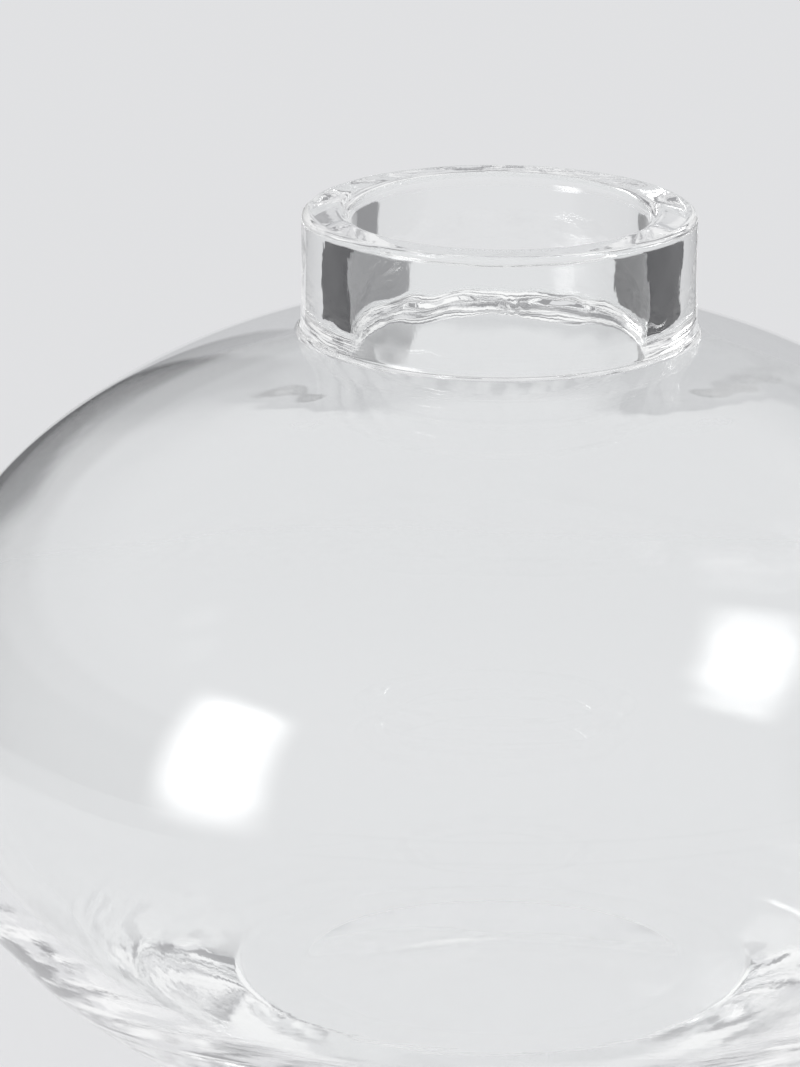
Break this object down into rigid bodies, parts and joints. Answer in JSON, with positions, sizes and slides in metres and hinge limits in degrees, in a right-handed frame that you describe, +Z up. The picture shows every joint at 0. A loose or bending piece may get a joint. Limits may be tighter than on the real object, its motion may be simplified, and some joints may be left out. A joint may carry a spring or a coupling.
{
  "type": "glass vase",
  "caption": "Clear hand blown glass vase with a squat round bulb, a short very thick cylindrical neck and a heavy base.",
  "frame": {"origin": "centre of the foot ring, on the surface that the vase stands on", "axes": "+Z up the vase's axis of revolution, towards the mouth; X and Y are any pair square to it"},
  "size_m": [0.24, 0.24, 0.18],
  "materials": {
    "clear_glass": "fire polished, colourless"
  },
  "bodies": {
    "root": {"base_pad": "clear_glass", "blown_bulb": "clear_glass", "neck_collar": "clear_glass"}
  },
  "joints": []
}
